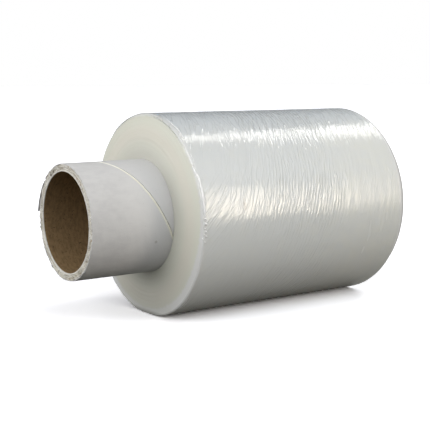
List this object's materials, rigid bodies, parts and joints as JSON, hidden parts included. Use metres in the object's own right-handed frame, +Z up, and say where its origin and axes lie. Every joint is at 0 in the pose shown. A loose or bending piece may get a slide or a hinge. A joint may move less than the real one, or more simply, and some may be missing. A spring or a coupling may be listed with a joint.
{
  "type": "stretch wrap roll",
  "caption": "Hand roll of clear stretch film wound on a spiral paper core, one end of which stands out as a handle. It lies on its side on a small flat spot.",
  "frame": {"origin": "on the floor, under the middle of the roll's whole length and under its axis", "axes": "+X along the roll's axis, from the handle's end to the far end; +Z up; the roll lies on its side, on the film's flat spot"},
  "size_m": [0.1354, 0.0794, 0.0789],
  "materials": {
    "clear_film": "gloss",
    "white_paper": "matte",
    "pale_board": "matte",
    "kraft_paper": "matte"
  },
  "bodies": {
    "root": {"stretch_film": "clear_film", "core_outer_ply": "white_paper", "core_board": "pale_board", "core_inner_ply": "kraft_paper"}
  },
  "joints": []
}
